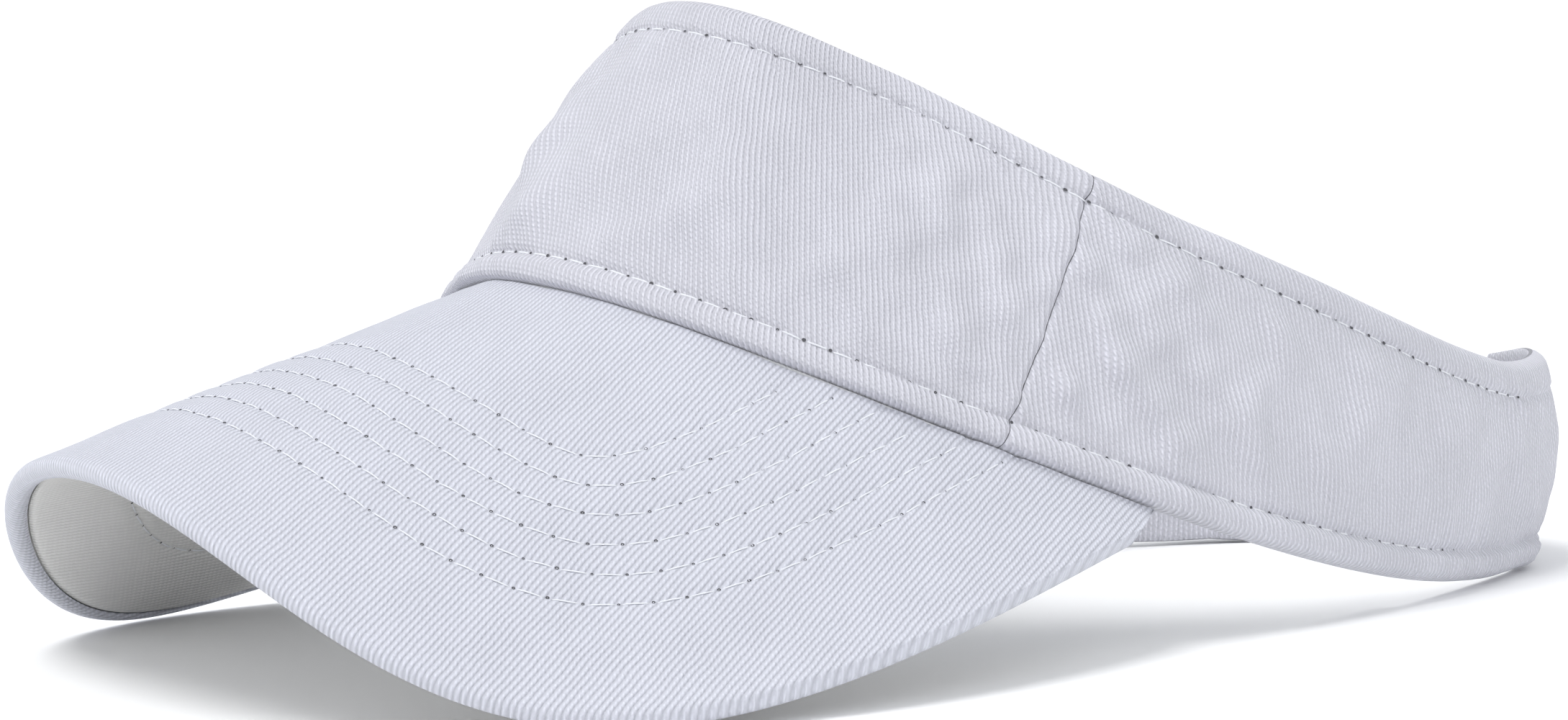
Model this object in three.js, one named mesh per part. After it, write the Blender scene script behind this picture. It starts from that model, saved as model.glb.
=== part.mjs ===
// Cotton twill sun visor with a curved bill and a hook-and-loop strap at the rear.
// Units are millimetres. The shape is drawn in the worn frame: origin at the front
// centre of the band's lower edge, +X to the wearer's left, +Y to the rear, +Z up.
// The finished group is then pitched back until it rests on its bill and its rear band.
import * as THREE from 'three';

// ---- Driving dimensions: the band's lower edge, left half ----
const REAR_RADIUS = 46;          // round stretch behind the head
const REAR_Y = 212.6;            // front centre to rear centre
const REAR_ARC = 62;             // degrees of the round stretch on each side
const FRONT_HANDLE = 43.6;       // how far the forehead stretch stays straight
const TEMPLE = [90.5, 42.2, -22.9];
const EAR_HANDLE = 66.9;
const EAR_DROP = -40.2;
const ARC_START_DROP = -28;
const REAR_DROP = -20;

// ---- Driving dimensions: the band's wall ----
const WALL_STOPS = [0, 0.25, 0.5, 0.78, 0.92, 1];       // share of the way, front to rear
const TOP_HEIGHT = [48.7, 39.8, 19.9, 8.1, 13.2, 12];   // height of the upper edge
const WALL_LEAN = [27.5, 30, 16, 3, 0, 0];           // degrees of inward lean
const WALL_BULGE = [2.7, 2.7, 2.7, 3.2, 4.5, 4.5];      // how far the middle stands out
const SEAM_LOW = 0.32;           // side seam at the lower edge, share of the way
const SEAM_HIGH = 0.41;           // side seam at the upper edge

// ---- Driving dimensions: the bill ----
const BILL_LENGTH = 75.4;
const BILL_SLOPE = 27;           // degrees below level at the centre
const BILL_FRONT_HANDLE = 70;
const BILL_FLANK = [62.3, -26.6, -87.9];
const BILL_SIDE = [123.4, -25.5, -55.7];
const BILL_END = 0.6;            // where the bill's edge meets the band
const BILL_CORNER = 0.975;       // the stiff bill stops just short of that point
const BOARD = 1.6;
const RIM_RETURN = 3;

// ---- Driving dimensions: cloth, closure and stitching ----
const CLOTH = 0.6;
const GAP = 0.3;
const BUCKRAM = 0.4;
const FACING = 0.5;
const HEM = 6.5;
const TAPE = 0.8;
const SWEATBAND = 1;
const SWEATBAND_HEIGHT = 30;
const SWEATBAND_REACH = 0.62;
const TAPE_WIDTH = 10;
const LABEL_WIDTH = 20;
const LABEL_THICK = 0.4;
const LABEL_PLACE = 0.68;
const LEFT_END = 10;             // distances along the band from the rear centre,
const RIGHT_END = 6;             // positive to the wearer's left
const STRAP_ROOT = 26;
const STRAP_FOLD = 13;
const STRAP_TIP = -60;
const STRAP_RAMP = 9;
const STRAP_MARGIN = 1.2;
const STRAP_CORNER = 9;
const PATCH = 0.7;
const PATCH_MARGIN = 3.6;
const HOOK_SPAN = [0, -55];
const LOOP_SPAN = [3, -76];
const THREAD = 0.5;
const ROWS = 6;
const ROW_FIRST = 20;            // outermost row, from the bill's edge
const ROW_STEP = 5.5;

const STATION = 7;               // spacing of the cross sections along the band
const BILL_STATIONS = 44;        // cross sections along the bill

const REST_PITCH = 9;             // degrees, front up, when it stands on a table

// ---- Curves and surfaces ----
const rad = THREE.MathUtils.degToRad;

function bezier(points, t) {
  let row = points.map((p) => p.clone());
  while (row.length > 1) row = row.slice(1).map((p, i) => row[i].clone().lerp(p, t));
  return row[0];
}

// Monotone cubic through (stops, values), level at both ends, where it meets its mirror image.
function smooth(stops, values, x) {
  const slope = (i) => (values[i + 1] - values[i]) / (stops[i + 1] - stops[i]);
  const last = stops.length - 1;
  const tangent = (i) => {
    if (i === 0 || i === last) return 0;
    const [a, b] = [slope(i - 1), slope(i)];
    return a * b <= 0 ? 0 : (2 * a * b) / (a + b);
  };
  let k = 0;
  while (k < last - 1 && x > stops[k + 1]) k += 1;
  const h = stops[k + 1] - stops[k];
  const t = (x - stops[k]) / h;
  const [t2, t3] = [t * t, t * t * t];
  return (2 * t3 - 3 * t2 + 1) * values[k] + (t3 - 2 * t2 + t) * h * tangent(k)
    + (3 * t2 - 2 * t3) * values[k + 1] + (t3 - t2) * h * tangent(k + 1);
}

const arcCentreY = REAR_Y - REAR_RADIUS;
const arcStart = new THREE.Vector3(
  REAR_RADIUS * Math.sin(rad(REAR_ARC)),
  arcCentreY + REAR_RADIUS * Math.cos(rad(REAR_ARC)),
  ARC_START_DROP,
);
const lowerPoints = [
  new THREE.Vector3(0, 0, 0),
  new THREE.Vector3(FRONT_HANDLE, 0, 0),
  new THREE.Vector3(...TEMPLE),
  new THREE.Vector3(
    arcStart.x + EAR_HANDLE * Math.cos(rad(REAR_ARC)),
    arcStart.y - EAR_HANDLE * Math.sin(rad(REAR_ARC)),
    EAR_DROP,
  ),
  arcStart,
];

class LowerEdge extends THREE.Curve {
  getPoint(t) {
    const split = 0.8;
    if (t <= split) return bezier(lowerPoints, t / split);
    const left = 1 - (t - split) / (1 - split);
    const angle = rad(REAR_ARC) * left;
    const ease = left * left * (3 - 2 * left);
    return new THREE.Vector3(
      REAR_RADIUS * Math.sin(angle),
      arcCentreY + REAR_RADIUS * Math.cos(angle),
      REAR_DROP + (ARC_START_DROP - REAR_DROP) * ease,
    );
  }
}
const lowerEdge = new LowerEdge();
const halfGirth = lowerEdge.getLength();

// u runs from 0 at the front centre to +1 (left way round) or -1 (right way round) at
// the rear centre, and on past it.
function wallFrame(u) {
  let turn = u;
  if (turn > 1) turn -= 2;
  if (turn < -1) turn += 2;
  const side = turn < 0 ? -1 : 1;
  const share = Math.abs(turn);
  const low = lowerEdge.getPointAt(share);
  const along = lowerEdge.getTangentAt(THREE.MathUtils.clamp(share, 0.001, 0.999));
  const inward = new THREE.Vector3(-along.y, along.x, 0).normalize();
  const rise = smooth(WALL_STOPS, TOP_HEIGHT, share) - low.z;
  const lean = Math.tan(rad(smooth(WALL_STOPS, WALL_LEAN, share)));
  const up = new THREE.Vector3(inward.x * lean, inward.y * lean, 1);
  const bulge = smooth(WALL_STOPS, WALL_BULGE, share);
  return { low, inward, up, rise, height: rise * up.length(), bulge, side };
}

// A point of the band's wall: w is the share of its height, depth is inward.
function wallPoint(u, w, depth) {
  const f = wallFrame(u);
  const point = f.low.clone().addScaledVector(f.up, f.rise * w);
  point.addScaledVector(f.inward, depth - f.bulge * 4 * w * (1 - w));
  point.x *= f.side;
  return point;
}

const wallHeight = (u) => wallFrame(u).height;
const rearU = (distance) => 1 - distance / halfGirth;

const billTip = new THREE.Vector3(
  0,
  -BILL_LENGTH * Math.cos(rad(BILL_SLOPE)),
  -BILL_LENGTH * Math.sin(rad(BILL_SLOPE)),
);
const outerPoints = [
  billTip,
  billTip.clone().setX(BILL_FRONT_HANDLE),
  new THREE.Vector3(...BILL_FLANK),
  new THREE.Vector3(...BILL_SIDE),
  bezier(lowerPoints, BILL_END),
];

// s runs from 0 at the bill's centre to +1 at its left end. Across the bill the surface
// is straight, from its outer edge to the band.
function billSpan(s) {
  const share = Math.abs(s);
  return [bezier(outerPoints, share), bezier(lowerPoints, share * BILL_END)];
}

function billLength(s) {
  const [outer, inner] = billSpan(s);
  return outer.distanceTo(inner);
}

function billTop(s, reach) {
  const [outer, inner] = billSpan(s);
  const point = outer.clone().lerp(inner, reach / outer.distanceTo(inner));
  point.x *= s < 0 ? -1 : 1;
  return point;
}

// reach is measured from the outer edge, depth is down through the bill.
function billPoint(s, reach, depth) {
  const step = 0.004;
  const across = billTop(s, reach + 0.5).sub(billTop(s, reach - 0.5));
  const along = billTop(s + step, reach).sub(billTop(s - step, reach));
  const normal = along.cross(across).normalize();
  return billTop(s, reach).addScaledVector(normal, -depth);
}

// ---- Solids ----
// Joins equal rings of points into one closed body, with the profile's shape as caps. Each
// four-sided patch is split along its shorter diagonal, so that neighbours split alike.
function loft(rings, profile) {
  const count = profile.length;
  const points = rings.flat();
  const faces = [];
  for (let i = 0; i + 1 < rings.length; i += 1) {
    for (let j = 0; j < count; j += 1) {
      const k = (j + 1) % count;
      const [a, b, c, d] = [i * count + j, i * count + k, (i + 1) * count + k, (i + 1) * count + j];
      const split = points[a].distanceTo(points[c]) < points[b].distanceTo(points[d]);
      faces.push(...(split ? [a, b, c, a, c, d] : [a, b, d, b, c, d]));
    }
  }
  const flat = profile.map(([x, y]) => new THREE.Vector2(x, y));
  const end = (rings.length - 1) * count;
  const winding = THREE.ShapeUtils.isClockWise(flat) ? -1 : 1;
  for (const [a, b, c] of THREE.ShapeUtils.triangulateShape(flat, [])) {
    const cap = winding > 0 ? [a, c, b] : [a, b, c];
    faces.push(...cap);
    faces.push(end + cap[0], end + cap[2], end + cap[1]);
  }
  let volume = 0;
  for (let i = 0; i < faces.length; i += 3) {
    const [a, b, c] = [points[faces[i]], points[faces[i + 1]], points[faces[i + 2]]];
    volume += a.dot(b.clone().cross(c));
  }
  if (volume < 0) faces.reverse();
  const geometry = new THREE.BufferGeometry().setFromPoints(points);
  geometry.setIndex(faces);
  geometry.computeVertexNormals();
  return geometry;
}

// A strip of the band between two places. Each profile entry is [edge, distance, depth],
// with edge 'low' or 'top' for a distance in mm, or 'share' for a part of the height.
function bandStrip(from, to, entries) {
  const rings = [];
  const stations = Math.ceil(Math.abs(to[0] - from[0]) * halfGirth / STATION);
  const height = (edge, value, u) => {
    if (edge === 'share') return value;
    return edge === 'low' ? value / wallHeight(u) : 1 - value / wallHeight(u);
  };
  for (let i = 0; i <= stations; i += 1) {
    const mix = i / stations;
    const middle = THREE.MathUtils.lerp((from[0] + from[1]) / 2, (to[0] + to[1]) / 2, mix);
    rings.push(entries.map(([edge, value, depth]) => {
      const w = height(edge, value, middle);
      const start = THREE.MathUtils.lerp(from[0], from[1], w);
      const stop = THREE.MathUtils.lerp(to[0], to[1], w);
      return wallPoint(THREE.MathUtils.lerp(start, stop, mix), w, depth);
    }));
  }
  const nominal = { low: (v) => v, top: (v) => 50 - v, share: (v) => 50 * v };
  return loft(rings, entries.map(([edge, value, depth]) => [nominal[edge](value), depth]));
}

// Heights at which every layer follows the wall's bulge.
const between = [0.12, 0.3, 0.5, 0.7, 0.88];

// A plain layer of even thickness between two heights.
function layer(lowEdge, lowAt, highEdge, highAt, depth, thick, shares = between) {
  const inside = depth + thick;
  const outerSide = shares.map((v) => ['share', v, depth]);
  const innerSide = shares.map((v) => ['share', v, inside]).reverse();
  const tall = highEdge === 'top';
  return [
    [lowEdge, lowAt, depth], ...(tall ? outerSide : []), [highEdge, highAt, depth],
    [highEdge, highAt, inside], ...(tall ? innerSide : []), [lowEdge, lowAt, inside],
  ];
}

// The shell's cloth turns in over the facing at both edges and is stitched down.
const buckramDepth = CLOTH + GAP;
const facingDepth = buckramDepth + BUCKRAM + GAP;
const hemDepth = facingDepth + FACING + GAP;
const tapeDepth = hemDepth + CLOTH + GAP;
const sweatDepth = tapeDepth + TAPE + GAP;
const shellProfile = [
  ['low', 0, 0], ...between.map((v) => ['share', v, 0]), ['top', 0, 0],
  ['top', 0, hemDepth + CLOTH], ['top', HEM, hemDepth + CLOTH],
  ['top', HEM, hemDepth], ['top', CLOTH, hemDepth], ['top', CLOTH, CLOTH],
  ...between.map((v) => ['share', v, CLOTH]).reverse(),
  ['low', CLOTH, CLOTH], ['low', CLOTH, hemDepth], ['low', HEM, hemDepth],
  ['low', HEM, hemDepth + CLOTH], ['low', 0, hemDepth + CLOTH],
];
const insideHem = CLOTH + GAP;
const facingProfile = layer('low', insideHem, 'top', insideHem, facingDepth, FACING);
const buckramProfile = layer('low', insideHem, 'top', insideHem, buckramDepth, BUCKRAM);
const sweatProfile = layer('low', 1, 'low', SWEATBAND_HEIGHT, sweatDepth, SWEATBAND);
const billTapeProfile = layer('low', 1, 'low', TAPE_WIDTH, tapeDepth, TAPE);
const betweenHems = between.slice(1, -1);
const seamTapeProfile = layer('low', TAPE_WIDTH + 1, 'top', HEM + 1, tapeDepth, CLOTH, betweenHems);
const labelProfile = layer('low', 3, 'low', 29, tapeDepth, LABEL_THICK);

// ---- The group ----
const group = new THREE.Group();
group.rotation.x = -rad(REST_PITCH);

function add(name, geometry, color, roughness) {
  const material = new THREE.MeshStandardMaterial({ color, roughness, metalness: 0 });
  const mesh = new THREE.Mesh(geometry, material);
  mesh.name = name;
  group.add(mesh);
}

const WHITE_TWILL = 0xe4e6ec;
const WHITE_LINING = 0xdfe1e6;
const WHITE_TAPE = 0xeceef0;
const STIFFENER = 0xf0f0ea;
const HOOK_NYLON = 0xe9eaec;

// ---- Band ----
const slit = GAP / halfGirth;
const seam = (side, shift) => [side * (SEAM_LOW + shift), side * (SEAM_HIGH + shift)];
const straight = (u) => [u, u];
const leftEnd = rearU(LEFT_END);
const rightEnd = -2 + rearU(RIGHT_END);

function addBand() {
  add('front_panel', bandStrip(seam(-1, -slit), seam(1, -slit), shellProfile), WHITE_TWILL, 0.9);
  add('left_side_panel', bandStrip(seam(1, slit), straight(leftEnd), shellProfile), WHITE_TWILL, 0.9);
  add('right_side_panel', bandStrip(seam(-1, slit), straight(rightEnd), shellProfile), WHITE_TWILL, 0.9);
  add('front_buckram', bandStrip(seam(-1, -slit), seam(1, -slit), buckramProfile), STIFFENER, 0.8);
  add('front_facing', bandStrip(seam(-1, -slit), seam(1, -slit), facingProfile), WHITE_LINING, 0.9);
  add('left_facing', bandStrip(seam(1, slit), straight(leftEnd), facingProfile), WHITE_LINING, 0.9);
  add('right_facing', bandStrip(seam(-1, slit), straight(rightEnd), facingProfile), WHITE_LINING, 0.9);
}

function addBandInside() {
  const reach = SWEATBAND_REACH;
  add('sweatband', bandStrip(straight(-reach), straight(reach), sweatProfile), WHITE_LINING, 0.95);
  const tapeEnd = SEAM_HIGH;
  add('bill_seam_tape', bandStrip(straight(-tapeEnd), straight(tapeEnd), billTapeProfile), WHITE_TAPE, 0.8);
  const halfTape = TAPE_WIDTH / 2 / halfGirth;
  for (const [name, side] of [['left', 1], ['right', -1]]) {
    const strip = bandStrip(seam(side, -halfTape), seam(side, halfTape), seamTapeProfile);
    add(`${name}_seam_tape`, strip, WHITE_TAPE, 0.8);
  }
  const labelEnd = LABEL_PLACE + LABEL_WIDTH / halfGirth;
  add('care_label', bandStrip(straight(LABEL_PLACE), straight(labelEnd), labelProfile), WHITE_TAPE, 0.6);
}

// ---- Bill ----
const billThick = CLOTH * 2 + GAP * 2 + BOARD;
const underDepth = billThick - CLOTH;

const billStops = Array.from({ length: BILL_STATIONS + 1 }, (_, i) => (
  THREE.MathUtils.lerp(-BILL_CORNER, BILL_CORNER, i / BILL_STATIONS)
));

// Entries are [from, distance, depth], from 'rim' or from 'band', or 'span' for a share.
function billSheet(entries) {
  const rings = [];
  for (const s of billStops) {
    const length = billLength(s);
    rings.push(entries.map(([from, distance, depth]) => {
      if (from === 'span') return billPoint(s, distance * length, depth);
      return billPoint(s, from === 'rim' ? distance : length - distance, depth);
    }));
  }
  const nominal = { rim: (v) => v, band: (v) => 70 - v, span: (v) => 70 * v };
  return loft(rings, entries.map(([from, distance, depth]) => [nominal[from](distance), depth]));
}

// Points that keep each layer on the bill's twisted surface.
const towardsRim = (depth) => [0.8, 0.6, 0.4, 0.2].map((share) => ['span', share, depth]);
const towardsBand = (depth) => towardsRim(depth).reverse();

function addBill() {
  const clear = 0.6;
  add('bill_top_cover', billSheet([
    ['band', clear, 0], ...towardsRim(0),
    ['rim', 1, 0], ['rim', 0, 1], ['rim', 0, billThick - 1], ['rim', 1, billThick],
    ['rim', RIM_RETURN, billThick], ['rim', RIM_RETURN, underDepth], ['rim', CLOTH, underDepth],
    ['rim', CLOTH, CLOTH], ...towardsBand(CLOTH), ['band', clear, CLOTH],
  ]), WHITE_TWILL, 0.9);
  const boardTop = CLOTH + GAP;
  const boardBase = boardTop + BOARD;
  add('bill_board', billSheet([
    ['band', clear, boardTop], ...towardsRim(boardTop), ['rim', boardTop, boardTop],
    ['rim', boardTop, boardBase], ...towardsBand(boardBase), ['band', clear, boardBase],
  ]), STIFFENER, 0.5);
  const underRim = RIM_RETURN + GAP;
  add('bill_under_cover', billSheet([
    ['band', clear, underDepth], ...towardsRim(underDepth), ['rim', underRim, underDepth],
    ['rim', underRim, billThick], ...towardsBand(billThick), ['band', clear, billThick],
  ]), WHITE_TWILL, 0.9);
}

// ---- Closure: strap and patches ----
// Depths outward of the band's wall are negative.
const loopDepth = -GAP - PATCH;
const hookDepth = loopDepth - GAP - PATCH;
const strapOver = hookDepth - GAP - CLOTH;
const strapOn = -GAP - CLOTH;

const upwards = [0, 0.2, 0.4, 0.6, 0.8, 1];

// A strip round the rear, whose end can be rounded and whose depth can step.
function rearStrip(start, stop, margin, depthAt, thick, corner, stations) {
  const rings = [];
  for (let i = 0; i <= stations; i += 1) {
    const even = i / stations;
    const distance = THREE.MathUtils.lerp(start, stop, corner ? Math.sin(even * Math.PI / 2) : even);
    const u = rearU(distance);
    const left = Math.abs(distance - stop);
    const inset = left < corner ? corner - Math.sqrt(corner ** 2 - (corner - left) ** 2) : 0;
    const edge = (margin + Math.min(inset, corner * 0.9)) / wallHeight(u);
    const depth = depthAt(distance);
    const heights = upwards.map((share) => THREE.MathUtils.lerp(edge, 1 - edge, share));
    const outside = heights.map((w) => wallPoint(u, w, depth));
    const inside = heights.map((w) => wallPoint(u, w, depth + thick)).reverse();
    rings.push([...outside, ...inside]);
  }
  const bow = (share) => -16 * share * (1 - share);
  const outline = upwards.map((share) => [20 * share, bow(share)]);
  const back = upwards.map((share) => [20 * share, bow(share) + thick]).reverse();
  return loft(rings, [...outline, ...back]);
}

function strapDepth(distance) {
  const t = THREE.MathUtils.clamp((STRAP_FOLD - distance) / STRAP_RAMP, 0, 1);
  return THREE.MathUtils.lerp(strapOn, strapOver, t * t * (3 - 2 * t));
}

function addClosure() {
  const flat = (depth) => () => depth;
  const root = rearStrip(STRAP_ROOT, STRAP_FOLD + GAP, STRAP_MARGIN, flat(strapOn), CLOTH, 0, 8);
  add('closure_strap_root', root, WHITE_TWILL, 0.9);
  const strap = rearStrip(STRAP_FOLD, STRAP_TIP, STRAP_MARGIN, strapDepth, CLOTH, STRAP_CORNER, 36);
  add('closure_strap', strap, WHITE_TWILL, 0.9);
  const hook = rearStrip(HOOK_SPAN[0], HOOK_SPAN[1], PATCH_MARGIN, flat(hookDepth), PATCH, 0, 14);
  add('hook_patch', hook, HOOK_NYLON, 0.5);
  const loop = rearStrip(LOOP_SPAN[0], LOOP_SPAN[1], PATCH_MARGIN, flat(loopDepth), PATCH, 0, 18);
  add('loop_patch', loop, HOOK_NYLON, 0.95);
}

// ---- Thread ----
// A row of stitching stands for its whole thread: one thin line just above the cloth.
const threadProfile = [[0, 0], [THREAD, 0], [THREAD, THREAD], [0, THREAD]];

function bandThread(from, to, distance, edge) {
  const half = THREAD / 2;
  const entries = [
    [edge, distance - half, -GAP - THREAD], [edge, distance + half, -GAP - THREAD],
    [edge, distance + half, -GAP], [edge, distance - half, -GAP],
  ];
  return bandStrip(straight(from), straight(to), entries);
}

const outerEdge = new THREE.CatmullRomCurve3(
  Array.from({ length: 41 }, (_, i) => bezier(outerPoints, i / 40)),
).getPoints(160);

// Reach along the bill's span at which the nearest bit of its edge is `offset` away.
function offsetReach(s, offset) {
  let [near, far] = [0, billLength(s)];
  for (let i = 0; i < 14; i += 1) {
    const middle = (near + far) / 2;
    const point = billTop(Math.abs(s), middle);
    const clear = Math.min(...outerEdge.map((edge) => edge.distanceTo(point)));
    if (clear > offset) far = middle;
    else near = middle;
  }
  return (near + far) / 2;
}

function billRow(offset) {
  const rings = [];
  for (const s of billStops) {
    const reach = offsetReach(s, offset);
    if (reach > billLength(s) - 3) continue;
    rings.push(threadProfile.map(([x, y]) => billPoint(s, reach + x, -GAP - y)));
  }
  return loft(rings, threadProfile);
}

function addThread() {
  for (let i = 0; i < ROWS; i += 1) {
    add(`bill_thread_${i + 1}`, billRow(ROW_FIRST + i * ROW_STEP), WHITE_TAPE, 0.6);
  }
  const stopLeft = rearU(STRAP_ROOT + 2);
  const stopRight = -rearU(-LOOP_SPAN[1] + 2);
  add('top_hem_thread', bandThread(stopRight, stopLeft, HEM - 0.5, 'top'), WHITE_TAPE, 0.6);
  add('bottom_hem_thread', bandThread(stopRight, stopLeft, HEM - 0.5, 'low'), WHITE_TAPE, 0.6);
}

addBand();
addBandInside();
addBill();
addClosure();
addThread();

// Stand it on the table, centred on the origin.
group.updateMatrixWorld(true);
const box = new THREE.Box3().setFromObject(group, true);
const centre = box.getCenter(new THREE.Vector3());
group.position.set(-centre.x, -centre.y, -box.min.z);

export default group;
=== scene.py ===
"""Looks of a white cotton twill sun visor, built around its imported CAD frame.

Lengths are in millimetres in the worn frame (origin at the front centre of the band's lower
edge, +X to the wearer's left, +Y to the rear, +Z up) until place() puts them at rest, in metres.
"""

import math

import bpy
import numpy as np
from mathutils import Matrix, Vector


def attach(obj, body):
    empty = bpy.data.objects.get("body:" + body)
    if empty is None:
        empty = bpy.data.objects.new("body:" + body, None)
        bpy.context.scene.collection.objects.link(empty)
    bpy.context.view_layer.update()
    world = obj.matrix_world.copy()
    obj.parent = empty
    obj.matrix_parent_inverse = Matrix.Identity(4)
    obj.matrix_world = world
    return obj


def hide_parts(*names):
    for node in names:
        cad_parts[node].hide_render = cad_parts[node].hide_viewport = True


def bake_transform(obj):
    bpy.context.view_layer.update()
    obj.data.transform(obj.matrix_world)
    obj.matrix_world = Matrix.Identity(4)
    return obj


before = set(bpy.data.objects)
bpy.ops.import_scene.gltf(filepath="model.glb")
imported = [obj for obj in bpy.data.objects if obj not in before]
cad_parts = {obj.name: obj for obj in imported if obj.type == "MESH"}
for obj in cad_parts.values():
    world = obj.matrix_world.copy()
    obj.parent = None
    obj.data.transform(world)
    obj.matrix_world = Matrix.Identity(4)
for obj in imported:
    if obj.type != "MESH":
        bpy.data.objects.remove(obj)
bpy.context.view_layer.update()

# ---- Driving dimensions, the same as the CAD part's ----
REAR_RADIUS = 46.0
REAR_Y = 212.6
REAR_ARC = math.radians(62)
FRONT_HANDLE = 43.6
TEMPLE = (90.5, 42.2, -22.9)
EAR_HANDLE = 66.9
EAR_DROP = -40.2
ARC_START_DROP = -28.0
REAR_DROP = -20.0
WALL_STOPS = (0, 0.25, 0.5, 0.78, 0.92, 1)
TOP_HEIGHT = (48.7, 39.8, 19.9, 8.1, 13.2, 12)
WALL_LEAN = (27.5, 30, 16, 3, 0, 0)
WALL_BULGE = (2.7, 2.7, 2.7, 3.2, 4.5, 4.5)
SEAM_LOW = 0.32
SEAM_HIGH = 0.41
BILL_LENGTH = 75.4
BILL_SLOPE = math.radians(27)
BILL_FRONT_HANDLE = 70.0
BILL_FLANK = (62.3, -26.6, -87.9)
BILL_SIDE = (123.4, -25.5, -55.7)
BILL_END = 0.6
BILL_CORNER = 0.975
REST_PITCH = math.radians(-9)
REST_SHIFT = (0, -72.787, 57.592)

# ---- Cloth layers, hems and stitches ----
CLOTH = 0.6
GAP = 0.3
BILL_THICK = 3.4
HEM_THICK = 3.0
HEM = 6.5
HEM_FLAT = 0.8
LOW_STITCH = 5.4
TOP_STITCH = 6.2
RIM_RETURN = 3.0
ROW_FIRST = 20.0
ROW_STEP = 5.5
ROWS = 6
STITCH_PITCH = 4.2
ROW_PITCH = 4.8
SEAM_SLIT = 0.05
SEAM_ROUND = 0.55
SEAM_TUCK = 0.5

# ---- Depths and heights of the inner layers ----
LINING_DEPTH = 1.6
LINING_THICK = 0.5
LINING_INSET = 0.9
TAPE_DEPTH = 3.3
BILL_TAPE_THICK = 0.8
BILL_TAPE_TOP = 10
SEAM_TAPE_THICK = 0.6
SEAM_TAPE_HALF = 5
SEAM_TAPE_LOW = 11
SEAM_TAPE_FROM_TOP = 7.5
SWEAT_DEPTH = 4.4
SWEAT_THICK = 1.0
SWEAT_TOP = 30
SWEAT_REACH = 0.62
LAYER_LOW = 1
LABEL_PLACE = 0.68
LABEL_WIDTH = 20
LABEL_THICK = 0.4
LABEL_LOW = 3
LABEL_TOP = 29

# ---- Ends of the band, from the rear centre ----
LEFT_END_GAP = 10
RIGHT_END_GAP = 6

# ---- UV units ----
UV_PER_MM = 0.01
MM_PER_UV = 100

# ---- Camera, from the photograph's own perspective ----
VIEW_AZIMUTH = math.radians(56.258)
VIEW_ELEVATION = math.radians(2.396)
VIEW_ROLL = math.radians(-1.603)
VIEW_DISTANCE = 0.6602
VIEW_TARGET = Vector((-0.12048, 0.06138, 0.03678))
LENS = 71.544


# ---- Curves and surfaces ----
def unit(vectors):
    return vectors / np.linalg.norm(vectors, axis=-1, keepdims=True)


def bezier(points, t):
    """Points at t of the Bezier curve with these control points, whatever its degree."""
    t = np.asarray(t, float)[..., None]
    row = [np.asarray(p, float) + 0 * t for p in points]
    while len(row) > 1:
        row = [a * (1 - t) + b * t for a, b in zip(row, row[1:])]
    return row[0]


def smooth(stops, values, x):
    """Monotone cubic through (stops, values), level at both ends."""
    stops = np.asarray(stops, float)
    values = np.asarray(values, float)
    slope = np.diff(values) / np.diff(stops)
    tangent = np.zeros(len(stops))
    for i in range(1, len(stops) - 1):
        a, b = slope[i - 1], slope[i]
        tangent[i] = 0 if a * b <= 0 else 2 * a * b / (a + b)
    k = np.clip(np.searchsorted(stops, x, side="right") - 1, 0, len(stops) - 2)
    h = stops[k + 1] - stops[k]
    t = (x - stops[k]) / h
    low = (2 * t**3 - 3 * t**2 + 1) * values[k] + (t**3 - 2 * t**2 + t) * h * tangent[k]
    high = (3 * t**2 - 2 * t**3) * values[k + 1] + (t**3 - t**2) * h * tangent[k + 1]
    return low + high


arc_centre_y = REAR_Y - REAR_RADIUS
arc_start = np.array([
    REAR_RADIUS * math.sin(REAR_ARC),
    arc_centre_y + REAR_RADIUS * math.cos(REAR_ARC),
    ARC_START_DROP,
])
lower_points = [
    (0, 0, 0),
    (FRONT_HANDLE, 0, 0),
    TEMPLE,
    (
        arc_start[0] + EAR_HANDLE * math.cos(REAR_ARC),
        arc_start[1] - EAR_HANDLE * math.sin(REAR_ARC),
        EAR_DROP,
    ),
    arc_start,
]


def lower_edge_table(count=1600):
    """Points along the left half of the band's lower edge, and the length up to each."""
    straight = bezier(lower_points, np.linspace(0, 1, count))
    left = np.linspace(1, 0, count // 3)[1:]
    angle = REAR_ARC * left
    ease = left * left * (3 - 2 * left)
    arc = np.stack([
        REAR_RADIUS * np.sin(angle),
        arc_centre_y + REAR_RADIUS * np.cos(angle),
        REAR_DROP + (ARC_START_DROP - REAR_DROP) * ease,
    ], -1)
    points = np.concatenate([straight, arc])
    length = np.concatenate([[0], np.cumsum(np.linalg.norm(np.diff(points, axis=0), axis=1))])
    return points, length


edge_points, edge_length = lower_edge_table()
HALF_GIRTH = edge_length[-1]


def edge_at(share):
    """Points of the left lower edge at a share of the half girth."""
    at = share * HALF_GIRTH
    return np.stack([np.interp(at, edge_length, edge_points[:, i]) for i in range(3)], -1)


def wall_frame(u):
    """Lower point, inward direction, leaning up vector and rise of the wall at u."""
    turn = np.asarray(u, float)
    turn = np.where(turn > 1, turn - 2, turn)
    turn = np.where(turn < -1, turn + 2, turn)
    side = np.where(turn < 0, -1.0, 1.0)
    share = np.abs(turn)
    low = edge_at(share)
    near = 0.002
    along = edge_at(np.clip(share + near, 0, 1)) - edge_at(np.clip(share - near, 0, 1))
    inward = unit(np.stack([-along[..., 1], along[..., 0], 0 * share], -1))
    rise = smooth(WALL_STOPS, TOP_HEIGHT, share) - low[..., 2]
    lean = np.tan(np.radians(smooth(WALL_STOPS, WALL_LEAN, share)))[..., None]
    up = inward * lean + np.array([0, 0, 1.0])
    return low, inward, up, rise, side


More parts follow.
